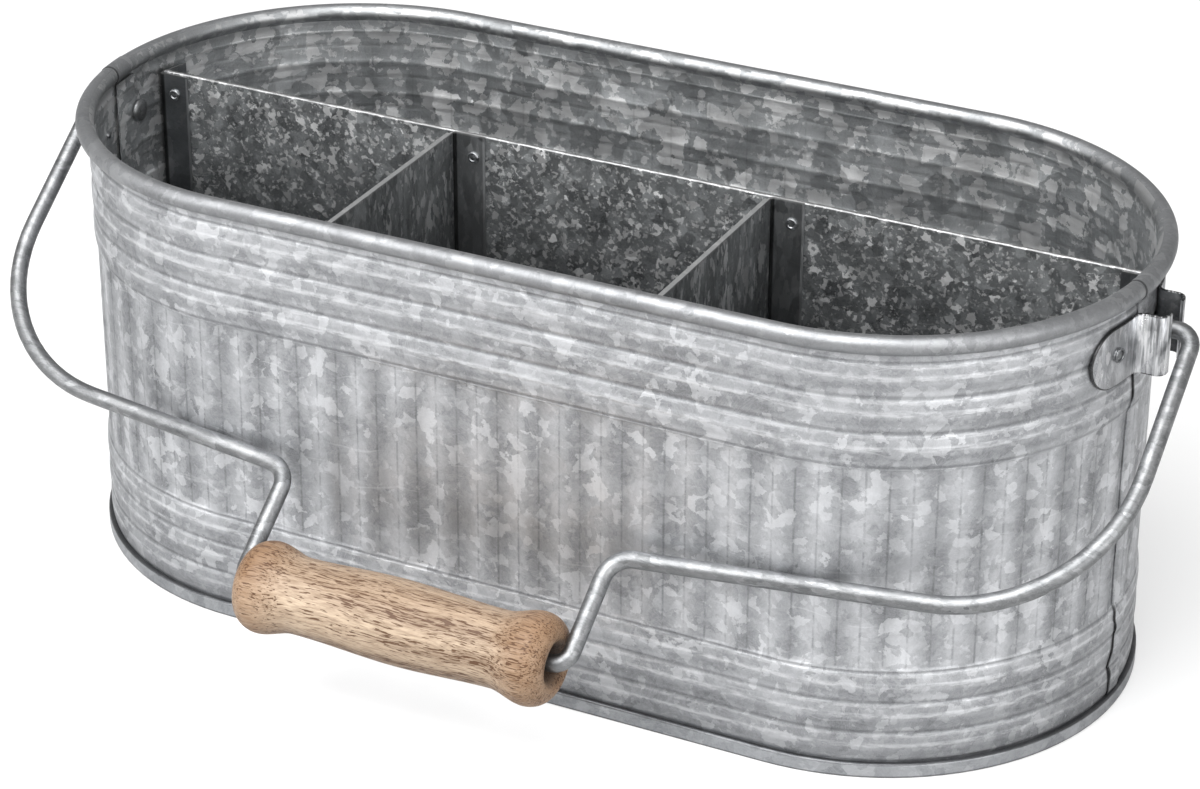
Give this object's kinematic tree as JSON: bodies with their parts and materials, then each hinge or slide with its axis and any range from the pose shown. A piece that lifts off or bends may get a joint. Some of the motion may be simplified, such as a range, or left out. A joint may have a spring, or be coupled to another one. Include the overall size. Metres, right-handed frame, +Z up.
{
  "type": "utensil caddy",
  "caption": "Oval galvanized sheet caddy with a divided inside, a rolled wire rim and a swinging wire bail with a turned wooden grip.",
  "frame": {"origin": "on the ground under the middle of the base", "axes": "+X along the caddy to the right, +Y to the back, +Z up; the single long compartment is at the back and the bail rests at the front"},
  "size_m": [0.4306, 0.2439, 0.1642],
  "materials": {
    "galvanized_wall": "hot-dip galvanized with a visible spangle, satin",
    "galvanized_divider": "darker galvanized sheet with a fine spangle, dull",
    "galvanized_ear": "galvanized strap, satin",
    "galvanized_wire": "galvanized drawn wire, satin",
    "rivet": "zinc-coated steel, satin",
    "grip_wood": "oiled open-pored hardwood, turned"
  },
  "bodies": {
    "tub": {"front_shell": "galvanized_wall", "back_shell": "galvanized_wall", "rim_wire": "galvanized_wire", "base_pan": "galvanized_wall", "long_divider": "galvanized_divider", "cross_divider_left": "galvanized_divider", "cross_divider_right": "galvanized_divider", "end_angle_left": "galvanized_divider", "end_angle_right": "galvanized_divider", "end_angle_rivets": "rivet", "cross_divider_rivets": "rivet", "ear_leaf_front_right": "galvanized_ear", "ear_leaf_back_right": "galvanized_ear", "ear_leaf_front_left": "galvanized_ear", "ear_leaf_back_left": "galvanized_ear", "ear_rivets": "rivet"},
    "bail": {"bail_wire": "galvanized_wire"},
    "grip": {"wood_grip": "grip_wood"}
  },
  "joints": [
    {"name": "bail_swing", "type": "hinge", "parent": "tub", "child": "bail", "pos_m": [0, 0, 0.143], "axis": [-1, 0, 0], "range_deg": [0, 253.8]},
    {"name": "grip_spin", "type": "hinge", "parent": "bail", "child": "grip", "pos_m": [-0.0115, -0.13186, 0.04381], "axis": [1, 0, 0], "continuous": true}
  ]
}
